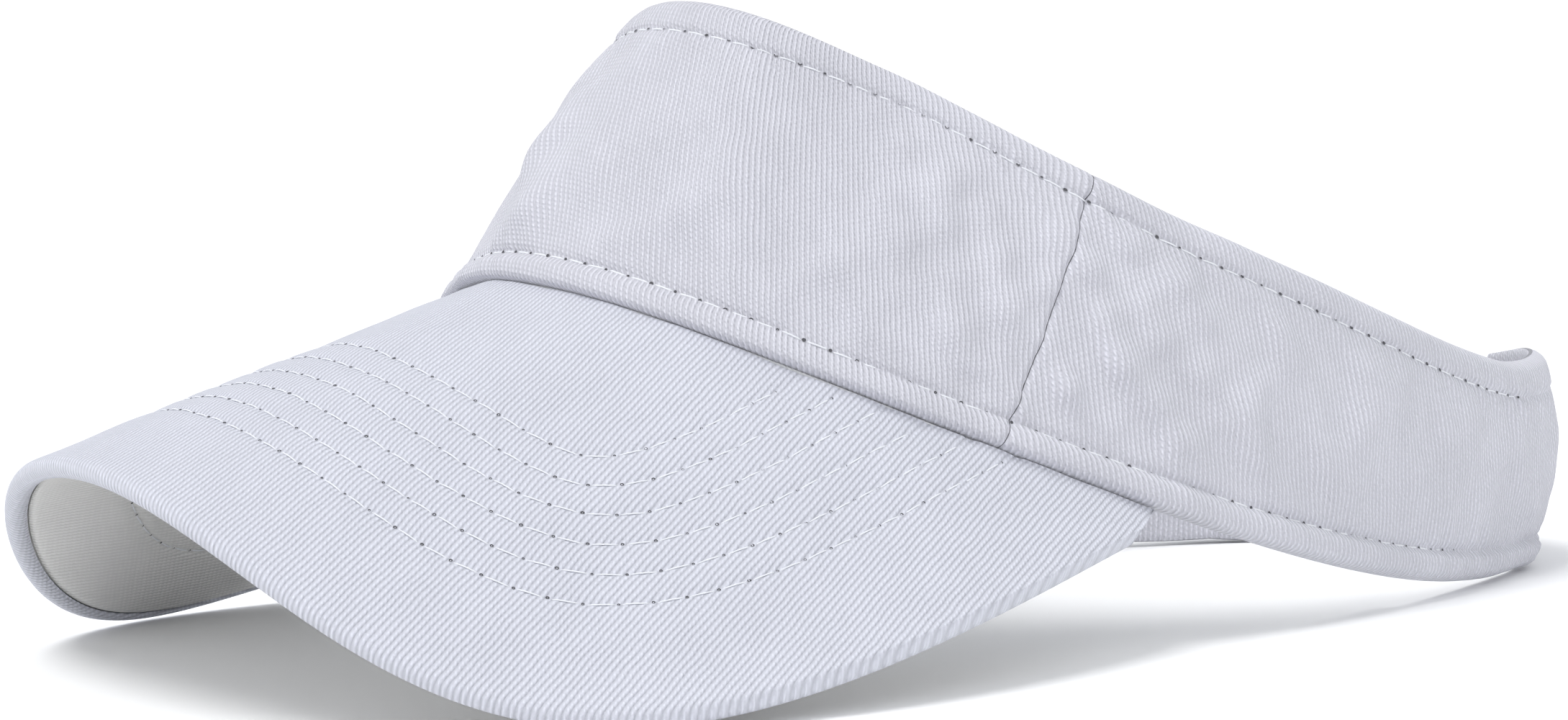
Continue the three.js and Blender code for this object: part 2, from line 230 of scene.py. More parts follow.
def wall_height(u):
    """Height of the band measured up its leaning wall."""
    _, _, up, rise, _ = wall_frame(u)
    return rise * np.linalg.norm(up, axis=-1)


def wall_point(u, w, depth):
    """A point of the band: w is the share of its height, depth is inward."""
    low, inward, up, rise, side = wall_frame(u)
    turn = np.abs(np.asarray(u, float))
    bulge = smooth(WALL_STOPS, WALL_BULGE, np.where(turn > 1, 2 - turn, turn))
    inset = depth - bulge * 4 * w * (1 - w)
    point = low + up * (rise * w)[..., None] + inward * inset[..., None]
    point[..., 0] *= side
    return point


def rear_u(distance):
    """The place a distance along the band from the rear centre, positive to the left."""
    return 1 - np.asarray(distance, float) / HALF_GIRTH


bill_tip = np.array([0, -BILL_LENGTH * math.cos(BILL_SLOPE), -BILL_LENGTH * math.sin(BILL_SLOPE)])
outer_points = [
    bill_tip,
    bill_tip + np.array([BILL_FRONT_HANDLE, 0, 0]),
    BILL_FLANK,
    BILL_SIDE,
    bezier(lower_points, BILL_END),
]


def bill_ends(s):
    """Outer and inner ends of the bill's straight span at s, both on the left side."""
    share = np.abs(s)
    return bezier(outer_points, share), bezier(lower_points, share * BILL_END)


def bill_length(s):
    outer, inner = bill_ends(s)
    return np.linalg.norm(outer - inner, axis=-1)


def bill_top(s, reach):
    """A point of the bill's top: s is 0 at the front, 1 and -1 at its ends, reach from its edge."""
    outer, inner = bill_ends(s)
    point = outer + (inner - outer) * (reach / bill_length(s))[..., None]
    point[..., 0] *= np.where(s < 0, -1.0, 1.0)
    return point


def bill_normal(s, reach):
    across = bill_top(s, reach + 0.5) - bill_top(s, reach - 0.5)
    along = bill_top(s + 0.004, reach) - bill_top(s - 0.004, reach)
    return unit(np.cross(along, across))


def bill_point(s, reach, depth):
    """reach is measured from the bill's outer edge, depth is down through it."""
    return bill_top(s, reach) - bill_normal(s, reach) * np.asarray(depth)[..., None]


def place(points):
    """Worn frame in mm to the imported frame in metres, where the visor stands at rest."""
    c, s = math.cos(REST_PITCH), math.sin(REST_PITCH)
    turn = np.array([[1, 0, 0], [0, c, -s], [0, s, c]])
    return (np.asarray(points) @ turn.T + np.array(REST_SHIFT)) * 0.001


def ripples(seed, shortest, longest, count=14, upright=0.0):
    """Seeded smooth waves between two lengths in mm, about -1 to 1. upright favours standing folds."""
    draw = np.random.default_rng(seed)
    wave = 2 * np.pi / np.exp(draw.uniform(math.log(shortest), math.log(longest), count))
    angle = draw.uniform(-np.pi / 2, np.pi / 2, count) * (1 - upright)
    phase = draw.uniform(0, 2 * np.pi, count)

    def field(x, y):
        total = 0
        for k, a, p in zip(wave, angle, phase):
            total = total + np.sin(k * (x * math.cos(a) + y * math.sin(a)) + p)
        return total / math.sqrt(count)

    return field


# ---- Meshes ----
def link_object(name, data):
    made = bpy.data.objects.new(name, data)
    bpy.context.scene.collection.objects.link(made)
    return made


def new_piece(name, vertices, faces, uvs=None, materials=(), face_materials=None):
    """A smooth-shaded object from vertices in the worn frame and uvs in mm."""
    mesh = bpy.data.meshes.new(name)
    mesh.from_pydata(place(vertices).tolist(), [], faces)
    if uvs is not None:
        loops = np.empty(len(mesh.loops), np.int32)
        mesh.loops.foreach_get("vertex_index", loops)
        layer = mesh.uv_layers.new(name="UVMap")
        layer.data.foreach_set("uv", (np.asarray(uvs)[loops] * UV_PER_MM).astype(np.float32).ravel())
    mesh.polygons.foreach_set("use_smooth", np.ones(len(mesh.polygons), bool))
    for material in materials:
        mesh.materials.append(material)
    if face_materials is not None:
        mesh.polygons.foreach_set("material_index", np.asarray(face_materials, np.int32))
    mesh.validate()
    mesh.update()
    return link_object(name, mesh)


def grid_faces(rows, columns, offset, flip):
    i, j = np.meshgrid(np.arange(rows - 1), np.arange(columns - 1), indexing="ij")
    a = (i * columns + j).ravel() + offset
    quads = np.stack([a, a + columns, a + columns + 1, a + 1], -1)
    return quads[:, ::-1] if flip else quads


def thick_sheet(name, front, back, uv, material):
    """Closed cloth between two equal grids of points, front facing out."""
    rows, columns = front.shape[:2]
    count = rows * columns
    index = np.arange(count).reshape(rows, columns)
    ring = np.concatenate([index[0, :], index[1:, -1], index[-1, -2::-1], index[-2:0:-1, 0]])
    after = np.roll(ring, -1)
    rim = np.stack([ring, after, after + count, ring + count], -1)
    faces = np.concatenate([
        grid_faces(rows, columns, 0, False),
        grid_faces(rows, columns, count, True),
        rim[:, ::-1],
    ])
    vertices = np.concatenate([front.reshape(-1, 3), back.reshape(-1, 3)])
    a, b, c, d = (vertices[faces[:, k]] for k in range(4))
    volume = (a * np.cross(b, c)).sum() + (a * np.cross(c, d)).sum()
    if volume < 0:
        faces = faces[:, ::-1]
    uvs = np.concatenate([uv.reshape(-1, 2)] * 2)
    return new_piece(name, vertices, faces.tolist(), uvs, [material])


# ---- Shell of the band ----
pucker_low = ripples(11, 4.5, 9, upright=0.75)
pucker_top = ripples(12, 4.5, 9, upright=0.75)
broad = ripples(13, 16, 46, upright=0.45)
crease = ripples(14, 7, 15, upright=0.35)
pucker_seam = ripples(15, 6, 12, upright=1.0)
LOW_ROLL = 1.45
TOP_ROLL = 0.7
LOW_GROOVE = 0.75
TOP_GROOVE = 0.45
BROAD_HEIGHT = 0.95
CREASE_HEIGHT = 0.42
CREASE_MIDDLE = 0.37
SEAM_PUCKER_HEIGHT = 0.22
HEM_EASE = 8
SHELL_DIP = 0.5
CUT_RADIUS = 190.0
CLOSURE_SPAN = (27, -77)
CLOSURE_EASE = 14
SHELL_SPACING = 0.9
SHELL_ROWS = 70
SEAM_DETAIL = 2.4
SEAM_DETAIL_SHARES = (0.06, 0.14, 0.25, 0.4, 0.6, 0.8)


def gauss(x, width):
    return np.exp(-((x / width) ** 2))


def step(x):
    """Rises smoothly from 0 at x = 0 to 1 at x = 1."""
    t = np.clip(x, 0, 1)
    return t * t * (3 - 2 * t)


def hem_roll(from_edge, stitch):
    """The round swell of a hem between its edge and its stitches, 0 to 1."""
    return np.clip(1 - ((from_edge - 0.44 * stitch) / (0.56 * stitch)) ** 2, 0, 1) ** 0.6


def puckers(waves, along, off, height, slant, middle, reach):
    """Short folds beside a row of stitches. off is the distance from the row, into the panel."""
    return height * waves(along + slant * off, 0 * off) * gauss(off - middle, reach)


def shell_relief(u, h, height):
    """How far the shell's cloth stands out from the wall, in mm."""
    along = u * HALF_GIRTH
    drop = height - h
    low = h - LOW_STITCH
    top = drop - TOP_STITCH
    relief = LOW_ROLL * hem_roll(h, LOW_STITCH) + TOP_ROLL * hem_roll(drop, TOP_STITCH)
    relief -= LOW_GROOVE * gauss(low, 0.7) + TOP_GROOVE * gauss(top, 0.65)
    relief += puckers(pucker_low, along, low, 0.13, 0.5, -1.6, 3.0)
    relief += puckers(pucker_low, along, low, 0.16, 0.3, 2.5, 3.2)
    relief += puckers(pucker_top, along, top, 0.3, -0.5, 1.2, 4.2)
    inside = step(low / HEM_EASE) * step(top / HEM_EASE)
    near_seam = gauss(np.abs(u) - CREASE_MIDDLE, 0.13)
    relief += BROAD_HEIGHT * broad(along, h) * (0.3 + 0.7 * inside)
    relief += CREASE_HEIGHT * crease(along, h) * inside * (0.5 + 1.2 * near_seam)
    beside = (np.abs(u) - SEAM_LOW - (SEAM_HIGH - SEAM_LOW) * h / height) * HALF_GIRTH
    relief += SEAM_PUCKER_HEIGHT * pucker_seam(h + 0.35 * beside, 0 * h) * gauss(beside, 7) * inside
    relief = np.where(relief < 0, -SHELL_DIP * np.tanh(-relief / SHELL_DIP), relief)
    distance = np.where(u > 0, 1 - u, -1 - u) * HALF_GIRTH
    clear_left = step((distance - CLOSURE_SPAN[0]) / CLOSURE_EASE)
    clear_right = step((CLOSURE_SPAN[1] - distance) / CLOSURE_EASE)
    return relief * (clear_left + clear_right)


def shell_point(u, h):
    height = wall_height(u)
    return wall_point(u, h / height, -shell_relief(u, h, height))


def shell_section():
    """The shell's outer path up the band, from the low hem's inside to the top hem's.

    Each row is (mm above the share, share of the height, depth, normal's depth, normal's rise).
    """
    radius = HEM_THICK / 2
    fold = []
    for angle in np.linspace(0, np.pi, 7):
        off, depth = radius - radius * math.sin(angle), radius - radius * math.cos(angle)
        fold.append((off, depth, -math.cos(angle), math.sin(angle)))
    hem = np.linspace(radius + HEM_FLAT, HEM, 5)
    even = np.linspace(0, 1, SHELL_ROWS)[1:-1]
    wall = 0.5 * even + 0.25 * (1 - np.cos(np.pi * even))
    path = [(off, 0, HEM_THICK, 1, 0) for off in hem[::-1]]
    path += [(off, 0, depth, deep, -rise) for off, depth, deep, rise in fold[::-1]]
    path += [(radius * (1 - 2 * share), share, 0, -1, 0) for share in wall]
    path += [(-off, 1, depth, deep, rise) for off, depth, deep, rise in fold]
    path += [(-off, 1, HEM_THICK, 1, 0) for off in hem]
    return np.array(path, float).T


def between(start, stop, mix, w):
    """u between two slanted lines, each given by its u at the low and at the top edge."""
    from_u = start[0] + (start[1] - start[0]) * w
    to_u = stop[0] + (stop[1] - stop[0]) * w
    return from_u + (to_u - from_u) * mix, np.abs(to_u - from_u) * HALF_GIRTH


def station_heights(start, stop, mix):
    """The wall's height at each station, taken half way up the slanted lines."""
    return wall_height((start[0] + start[1]) / 2 * (1 - mix) + (stop[0] + stop[1]) / 2 * mix)


def shell_panel(name, start, stop, turned, material, curved_cut=False):
    """One shell panel between two slanted lines, its hems turned in.

    turned says which of its ends are seams. A curved cut lays the weave as on a curved pattern.
    """
    length = abs(stop[0] - start[0]) * HALF_GIRTH
    mix = np.linspace(0, 1, int(length / SHELL_SPACING) + 1)
    extra = np.array(SEAM_DETAIL_SHARES) * (SEAM_DETAIL / length)
    mix = np.unique(np.concatenate([mix, extra, 1 - extra]))[:, None]
    low, share, inward, normal_depth, normal_rise = shell_section()
    height = station_heights(start, stop, mix)
    h = low[None] + share[None] * height
    w = h / height
    u, span = between(start, stop, mix, w)
    relief = shell_relief(u, h, height)
    tuck = 0
    if turned[0]:
        tuck = tuck + gauss(mix * span, SEAM_ROUND)
    if turned[1]:
        tuck = tuck + gauss((1 - mix) * span, SEAM_ROUND)
    on_wall = np.clip(-normal_depth, 0, 1)[None]
    lift = relief * on_wall - SEAM_TUCK * tuck * on_wall
    front = wall_point(u, w, inward[None] - lift)
    inner_w = (h - CLOTH * normal_rise[None]) / height
    back = wall_point(u, inner_w, inward[None] - lift - CLOTH * normal_depth[None])
    path = np.concatenate([[0], np.cumsum(np.hypot(np.diff(low + 50 * share), np.diff(inward)))])
    across, rising = u * HALF_GIRTH, np.where(on_wall > 0, h, path[None])
    if curved_cut:
        across, rising = (
            (CUT_RADIUS - rising) * np.sin(across / CUT_RADIUS),
            CUT_RADIUS - (CUT_RADIUS - rising) * np.cos(across / CUT_RADIUS),
        )
    uv = np.stack([across, rising], -1)
    return thick_sheet(name, front, back, uv, material)


def wall_strip(name, start, stop, low, high, depth, thick, material, relief=None, fineness=1.5):
    """A plain layer of the band. low and high are heights as functions of the wall's height."""
    stations = int(abs(stop[0] - start[0]) * HALF_GIRTH / fineness) + 4
    mix = np.linspace(0, 1, stations + 1)[:, None]
    share = np.linspace(0, 1, 24)[None]
    height = station_heights(start, stop, mix)
    h = low(height) + (high(height) - low(height)) * share
    w = h / height
    u, _ = between(start, stop, mix, w)
    lift = 0 if relief is None else relief(u * HALF_GIRTH, h)
    front = wall_point(u, w, depth + lift + 0 * w)
    back = wall_point(u, w, depth + thick + lift + 0 * w)
    uv = np.stack([u * HALF_GIRTH, h], -1)
    return thick_sheet(name, front, back, uv, material)


# ---- Bill ----
def flat_pattern(stops):
    """Unrolls the bill's straight spans, so that its weave lies as on a flat cut."""
    outer = bill_top(stops, 0 * stops)
    inner = bill_top(stops, bill_length(stops))
    middle = len(stops) // 2
    flat_outer = np.zeros((len(stops), 2))
    flat_inner = np.zeros((len(stops), 2))
    flat_inner[middle] = (0, np.linalg.norm(outer[middle] - inner[middle]))

    def gap(a, b):
        return np.linalg.norm(a - b)

    def third(a, b, from_a, from_b, side):
        """The point at these distances from a and b, on one side of their line."""
        base = b - a
        length = np.linalg.norm(base)
        x = (from_a**2 - from_b**2 + length**2) / (2 * length)
        y = math.sqrt(max(from_a**2 - x**2, 0)) * side
        ahead = base / length
        return a + ahead * x + np.array([-ahead[1], ahead[0]]) * y

    for way in (1, -1):
        i = middle
        while 0 <= i + way < len(stops):
            n = i + way
            reach = gap(outer[n], outer[i]), gap(outer[n], inner[i])
            flat_outer[n] = third(flat_outer[i], flat_inner[i], *reach, -way)
            reach = gap(inner[n], outer[n]), gap(inner[n], inner[i])
            flat_inner[n] = third(flat_outer[n], flat_inner[i], *reach, -way)
            i = n
    return flat_outer, flat_inner


bill_stops = np.linspace(-BILL_CORNER, BILL_CORNER, 421)
flat_outer, flat_inner = flat_pattern(bill_stops)
ROW_ROUNDING = 8
ROW_TUCK = 0.6
ROW_GROOVE = 0.3


def bill_uv(s, reach):
    """Place on the bill's flat pattern, in mm."""
    share = reach / bill_length(s)
    out = []
    for k in range(2):
        a = np.interp(s, bill_stops, flat_outer[:, k])
        b = np.interp(s, bill_stops, flat_inner[:, k])
        out.append(a + (b - a) * share)
    return np.stack(out, -1)


def row_reaches(offset):
    """Reach of a row of stitching at each stop: a rounded line at that distance from the edge."""
    stops = bill_stops[bill_stops >= 0]
    rim = bezier(outer_points, np.linspace(0, 1, 300))
    near = np.zeros(len(stops))
    far = bill_length(stops) * 1.25
    for _ in range(16):  # halves the search each time
        middle = (near + far) / 2
        point = bill_top(stops, middle)
        clear = np.linalg.norm(point[:, None] - rim[None], axis=2).min(1)
        far = np.where(clear > offset, middle, far)
        near = np.where(clear > offset, near, middle)
    reach = (near + far) / 2
    both = np.concatenate([reach[:0:-1], reach])
    window = 20
    kernel = gauss(np.arange(-window, window + 1), ROW_ROUNDING)
    padded = np.concatenate([np.full(window, both[0]), both, np.full(window, both[-1])])
    return np.convolve(padded, kernel / kernel.sum(), "valid")


def row_path(offset):
    """The stops and reaches of a row, from where it leaves the band to where it returns."""
    reach = row_reaches(offset)
    inside = reach < bill_length(bill_stops) + ROW_TUCK
    middle = len(bill_stops) // 2
    first = middle - np.argmin(inside[middle::-1]) if not inside[:middle].all() else 0
    last = middle + np.argmin(inside[middle:]) if not inside[middle:].all() else len(bill_stops) - 1
    return bill_stops[first:last], reach[first:last]


rows = [row_path(ROW_FIRST + i * ROW_STEP) for i in range(ROWS)]
row_points = np.concatenate([bill_top(s, reach) for s, reach in rows])
bill_waves = ripples(21, 18, 60)
bill_creases = ripples(22, 8, 18)


def row_distance(points):
    """Distance of each point from the nearest row of stitching."""
    flat = points.reshape(-1, 3)
    nearest = np.empty(len(flat))
    for i in range(0, len(flat), 4000):
        gap = flat[i:i + 4000, None] - row_points[None]
        nearest[i:i + 4000] = np.sqrt((gap**2).sum(-1).min(1))
    return nearest.reshape(points.shape[:-1])


def bill_lift(s, reach, top):
    """How far a bill cover stands out from its plain surface, in mm."""
    uv = bill_uv(s, reach)
    wave = 0.2 * bill_waves(uv[..., 0], uv[..., 1]) + 0.06 * bill_creases(uv[..., 0], uv[..., 1])
    surface = bill_top(s, np.clip(reach, 0, None))
    groove = ROW_GROOVE * gauss(row_distance(surface), 0.8)
    return (1.0 if top else 0.6) * wave * step(reach / 12) - groove


def bill_cover(name, top, material):
    """The top cover wraps the rim and returns under it. The under cover stops at that seam."""
    s = bill_stops[:, None]
    length = bill_length(s)
    if top:
        share = np.linspace(0, 1, 150)[None]
        reach = length + (BILL_THICK / 2 - length) * share
        depth = 0 * reach
        side_reach, side_depth = 0 * reach, 0 * reach - 1
        angle = np.linspace(0, np.pi, 13)[None, 1:]
        radius = BILL_THICK / 2
        rim_reach = radius - radius * np.sin(angle) + 0 * s
        rim_depth = radius - radius * np.cos(angle) + 0 * s
        back_reach = np.linspace(radius, RIM_RETURN, 5)[None, 1:] + 0 * s
        reach = np.concatenate([reach, rim_reach, back_reach], 1)
        depth = np.concatenate([depth, rim_depth, BILL_THICK + 0 * back_reach], 1)
        side_reach = np.concatenate([side_reach, -np.sin(angle) + 0 * s, 0 * back_reach], 1)
        side_depth = np.concatenate([side_depth, -np.cos(angle) + 0 * s, 0 * back_reach + 1], 1)
        facing = -side_depth
    else:
        share = np.linspace(0, 1, 110)[None]
        reach = length + (RIM_RETURN + 0.25 - length) * share
        depth = BILL_THICK + 0 * reach
        side_reach, side_depth = 0 * reach, 0 * reach + 1
        facing = 1 + 0 * reach
    edge_seam = 0.35 * gauss(reach - RIM_RETURN - 0.1, 0.5) * (side_depth > 0.9)
    lift = np.clip(facing, 0, 1) * bill_lift(s + 0 * reach, reach, top) - edge_seam
    uv = bill_uv(s + 0 * reach, reach)
    out_reach = reach + side_reach * lift
    out_depth = depth + side_depth * lift
    front = bill_point(s + 0 * reach, out_reach, out_depth)
    back = bill_point(s + 0 * reach, out_reach - side_reach * CLOTH, out_depth - side_depth * CLOTH)
    return thick_sheet(name, front, back, uv, material)


# ---- Stitches ----
def interpolated(values, at, where):
    """Rows of values, known at the distances at, taken at other distances."""
    return np.stack([np.interp(where, at, values[:, k]) for k in range(3)], -1)


def resample(points, normals, spacing):
    """Points and unit normals at even distances along a line, and those distances."""
    length = np.concatenate([[0], np.cumsum(np.linalg.norm(np.diff(points, axis=0), axis=1))])
    at = np.arange(0, length[-1], spacing)
    return interpolated(points, length, at), unit(interpolated(normals, length, at)), at


STITCH_RINGS = 7
STITCH_SIDES = 6
STITCH_SHARE = 0.82
STITCH_ARCH = 0.16
STITCH_SINK = 0.02
HOLE_DEPTH = 0.12
ring_angle = np.arange(STITCH_SIDES) * 2 * np.pi / STITCH_SIDES
stitch_share = np.linspace(-0.5, 0.5, STITCH_RINGS)
stitch_lift = STITCH_ARCH * np.cos(stitch_share * np.pi) - STITCH_SINK
stitch_fatness = np.sqrt(np.clip(1 - (2 * stitch_share) ** 6, 0.12, 1))


def thread_stitch(row, middle, pitch, radius, skew):
    """Vertices of one stitch: rings of thread that arch from hole to hole."""
    points, normals, at = row
    where = middle + stitch_share * pitch * STITCH_SHARE
    centre = interpolated(points, at, where)
    normal = interpolated(normals, at, where)
    across = np.cross(unit(np.gradient(centre, axis=0)), normal)
    centre = centre + normal * stitch_lift[:, None] + across * (skew * stitch_share * 2)[:, None]
    fat = stitch_fatness[:, None, None]
    wide = across[:, None] * (np.cos(ring_angle)[None, :, None] * radius * fat)
    tall = normal[:, None] * (np.sin(ring_angle)[None, :, None] * radius * 0.8 * fat)
    return (centre[:, None] + wide + tall).reshape(-1, 3)


def stitch_faces(first):
    faces = []
    for r in range(STITCH_RINGS - 1):
        a = first + r * STITCH_SIDES
        for j in range(STITCH_SIDES):
            n = (j + 1) % STITCH_SIDES
            faces.append((a + j, a + n, a + STITCH_SIDES + n, a + STITCH_SIDES + j))
    last = first + (STITCH_RINGS - 1) * STITCH_SIDES
    faces.append(tuple(first + j for j in range(STITCH_SIDES))[::-1])
    faces.append(tuple(last + j for j in range(STITCH_SIDES)))
    return faces


def hole_shade_cone(row, where, size, proud):
    """Vertices of one needle hole's painted shade: a small dark cone, its oval rim and the point below it.
    """
    points, normals, at = row
    centre = interpolated(points, at, where)
    normal = interpolated(normals, at, where)
    tangent = interpolated(points, at, where + 0.3) - interpolated(points, at, where - 0.3)
    tangent /= np.linalg.norm(tangent) + 1e-9
    across = np.cross(tangent, normal)
    oval = np.cos(ring_angle)[:, None] * tangent * size * 1.15 + np.sin(ring_angle)[:, None] * across * size
    return np.concatenate([centre + normal * proud + oval, [centre + normal * (proud - HOLE_DEPTH)]])


def stitch_row(name, lines, pitch=STITCH_PITCH, radius=0.16, seed=1, hole_size=0.3, proud=0.16):
    """Lockstitches along lines of (points, normals), with small dark cones of painted shade for the needle
    holes between them.
    """
    draw = np.random.default_rng(seed)
    vertices, faces, kinds = [], [], []
    count = 0
    for points, normals in lines:
        row = resample(points, normals, pitch / 8)
        stitches = int(row[2][-1] // pitch)
        for k in range(stitches):
            middle = (k + 0.5) * pitch + draw.uniform(-0.12, 0.12)
            vertices.append(thread_stitch(row, middle, pitch, radius, draw.uniform(-0.1, 0.1)))
            new_faces = stitch_faces(count)
            faces += new_faces
            kinds += [0] * len(new_faces)
            count += STITCH_RINGS * STITCH_SIDES
        for k in range(stitches + 1):
            size = hole_size * draw.uniform(0.7, 1.15)
            vertices.append(hole_shade_cone(row, k * pitch, size, proud))
            for j in range(STITCH_SIDES):
                faces.append((count + j, count + (j + 1) % STITCH_SIDES, count + STITCH_SIDES))
                kinds.append(1)
            count += STITCH_SIDES + 1
    return new_piece(name, np.concatenate(vertices), faces, None, [thread_white, needle_hole_shade], kinds)


def wall_line(u_from, u_to, height_of, depth=None, inside=False):
    """A line round the band, on the shell or at a depth, as points and outward or inward normals."""
    u = np.linspace(u_from, u_to, int(abs(u_to - u_from) * HALF_GIRTH * 1.5) + 8)
    height = wall_height(u)
    h = height_of(height)
    if depth is None:
        points = shell_point(u, h)
    else:
        points = wall_point(u, h / height, depth + 0 * u)
    above = wall_point(u, (h + 0.5) / height, 0 * u)
    below = wall_point(u, (h - 0.5) / height, 0 * u)
    _, inward, _, _, side = wall_frame(u)
    inward = inward.copy()
    inward[:, 0] *= side
    up = unit(above - below)
    normal = unit(-inward + up * (inward * up).sum(1, keepdims=True))
    return points, -normal if inside else normal


# ---- Materials ----
class Finish:
    """A material's node tree, with the steps that the finishes share."""

    def __init__(self, name, roughness, sheen=0.0):
        self.material = bpy.data.materials.new(name)
        self.material.use_nodes = True
        self.nodes = self.material.node_tree.nodes
        self.links = self.material.node_tree.links
        self.shader = self.nodes["Principled BSDF"]
        self.set("Roughness", roughness)
        self.set("Sheen Weight", sheen)

    def set(self, socket, value):
        self.shader.inputs[socket].default_value = value

    def math(self, operation, a, b=None):
        node = self.nodes.new("ShaderNodeMath")
        node.operation = operation
        for socket, value in zip(node.inputs, (a, b)):
            if isinstance(value, (int, float)):
                socket.default_value = value
            elif value is not None:
                self.links.new(value, socket)
        return node.outputs[0]

    def wave(self, phase):
        """A sine from 0 to 1."""
        return self.math("ADD", self.math("MULTIPLY", self.math("SINE", phase), 0.5), 0.5)

    def cloth_millimetres(self):
        """The flat pattern's place in mm, and its two parts."""
        uv = self.nodes.new("ShaderNodeUVMap")
        uv.uv_map = "UVMap"
        scaled = self.nodes.new("ShaderNodeVectorMath")
        scaled.operation = "SCALE"
        scaled.inputs["Scale"].default_value = MM_PER_UV
        self.links.new(uv.outputs[0], scaled.inputs[0])
        split = self.nodes.new("ShaderNodeSeparateXYZ")
        self.links.new(scaled.outputs[0], split.inputs[0])
        return scaled.outputs[0], split.outputs[0], split.outputs[1]

    def noise(self, place, scale, detail, roughness=0.5):
        node = self.nodes.new("ShaderNodeTexNoise")
        node.inputs["Scale"].default_value = scale
        node.inputs["Detail"].default_value = detail
        node.inputs["Roughness"].default_value = roughness
        self.links.new(place, node.inputs["Vector"])
        return node.outputs[0]

    def bump(self, height, strength, distance):
        node = self.nodes.new("ShaderNodeBump")
        node.inputs["Strength"].default_value = strength
        node.inputs["Distance"].default_value = distance
        self.links.new(height, node.inputs["Height"])
        self.links.new(node.outputs[0], self.shader.inputs["Normal"])

    def colour(self, color, tone):
        """The base colour, lightened or darkened by tone."""
        tint = self.nodes.new("ShaderNodeVectorMath")
        tint.operation = "SCALE"
        tint.inputs[0].default_value = color
        self.links.new(tone, tint.inputs["Scale"])
        self.links.new(tint.outputs[0], self.shader.inputs["Base Color"])


def twill(name, color, angle, wale, strength=0.9, shade=0.16, mottle=0.1, crisp=False, dashes=0.3):
    """Twill. angle is its wales' direction in degrees from the weft, wale their spacing in mm."""
    finish = Finish(name, 0.88, 0.18)
    finish.set("Sheen Roughness", 0.6)
    finish.set("Specular IOR Level", 0.25)
    m = finish.math
    place_mm, x, y = finish.cloth_millimetres()
    cos, sin = math.cos(math.radians(angle)), math.sin(math.radians(angle))
    across = m("SUBTRACT", m("MULTIPLY", x, sin), m("MULTIPLY", y, cos))
    along = m("ADD", m("MULTIPLY", x, cos), m("MULTIPLY", y, sin))
    drift = m("MULTIPLY", m("SUBTRACT", finish.noise(place_mm, 0.22, 3), 0.5), 0.5)
    phase = m("MULTIPLY", m("ADD", across, drift), 2 * math.pi / wale)
    ridge = finish.wave(phase)
    if crisp:
        ridge = m("POWER", ridge, 0.55)
    yarn_phase = m("ADD", m("MULTIPLY", along, 2 * math.pi / (wale * 1.05)), m("MULTIPLY", phase, 0.45))
    yarn = finish.wave(yarn_phase)
    weave = m("ADD", m("MULTIPLY", ridge, 1 - dashes), m("MULTIPLY", m("MULTIPLY", yarn, ridge), dashes))
    fuzz = finish.noise(place_mm, 3.2, 4)
    finish.bump(m("ADD", weave, m("MULTIPLY", fuzz, 0.35)), strength, 0.0003)
    patches = finish.noise(place_mm, 0.06, 5, 0.6)
    # Painted shade: the colour darkens by shade in the weave's low places, the grooves between the wales,
    # where the relief would be in shade.
    tone = m("ADD", 1 - shade, m("MULTIPLY", weave, shade))
    tone = m("MULTIPLY", tone, m("ADD", 1 - mottle / 2, m("MULTIPLY", patches, mottle)))
    finish.colour(color, tone)
    return finish.material


def plain_cloth(name, color, threads=1.1, strength=0.5, roughness=0.9):
    """Plain weave: two crossing sets of yarn, with this many threads to a mm."""
    finish = Finish(name, roughness, 0.12)
    finish.set("Specular IOR Level", 0.25)
    m = finish.math
    place_mm, x, y = finish.cloth_millimetres()
    turn = 2 * math.pi * threads
    weft = m("SINE", m("MULTIPLY", x, turn))
    warp = m("SINE", m("MULTIPLY", y, turn))
    weave = m("ADD", m("MULTIPLY", m("MULTIPLY", weft, warp), 0.5), 0.5)
    fuzz = finish.noise(place_mm, 2.2, 4)
    finish.bump(m("ADD", weave, m("MULTIPLY", fuzz, 0.8)), strength, 0.00015)
    # Painted shade: the colour is a little darker where the weave's yarns dip.
    tone = m("ADD", 0.92, m("MULTIPLY", weave, 0.08))
    finish.colour(color, m("MULTIPLY", tone, m("ADD", 0.97, m("MULTIPLY", fuzz, 0.06))))
    return finish.material


def grainy(name, color, roughness, scale, strength, distance, sheen=0.0):
    """A surface with fine grain in object space: thread, nylon, plastic."""
    finish = Finish(name, roughness, sheen)
    coordinates = finish.nodes.new("ShaderNodeTexCoord")
    grain = finish.noise(coordinates.outputs["Object"], scale, 5)
    finish.bump(grain, strength, distance)
    finish.colour(color, finish.math("ADD", 0.93, finish.math("MULTIPLY", grain, 0.12)))
    return finish.material


BAND_WHITE = (0.75, 0.749, 0.82)
BILL_WHITE = (0.70, 0.712, 0.79)
# The bill's under cover is the same white twill as its top; its lighter, less blue colour is painted light,
# the floor's bounce in the shade under the bill.
UNDER_BOUNCE_WHITE = (0.79, 0.783, 0.765)
BILL_ANGLE = 113
BILL_WALE = 0.9
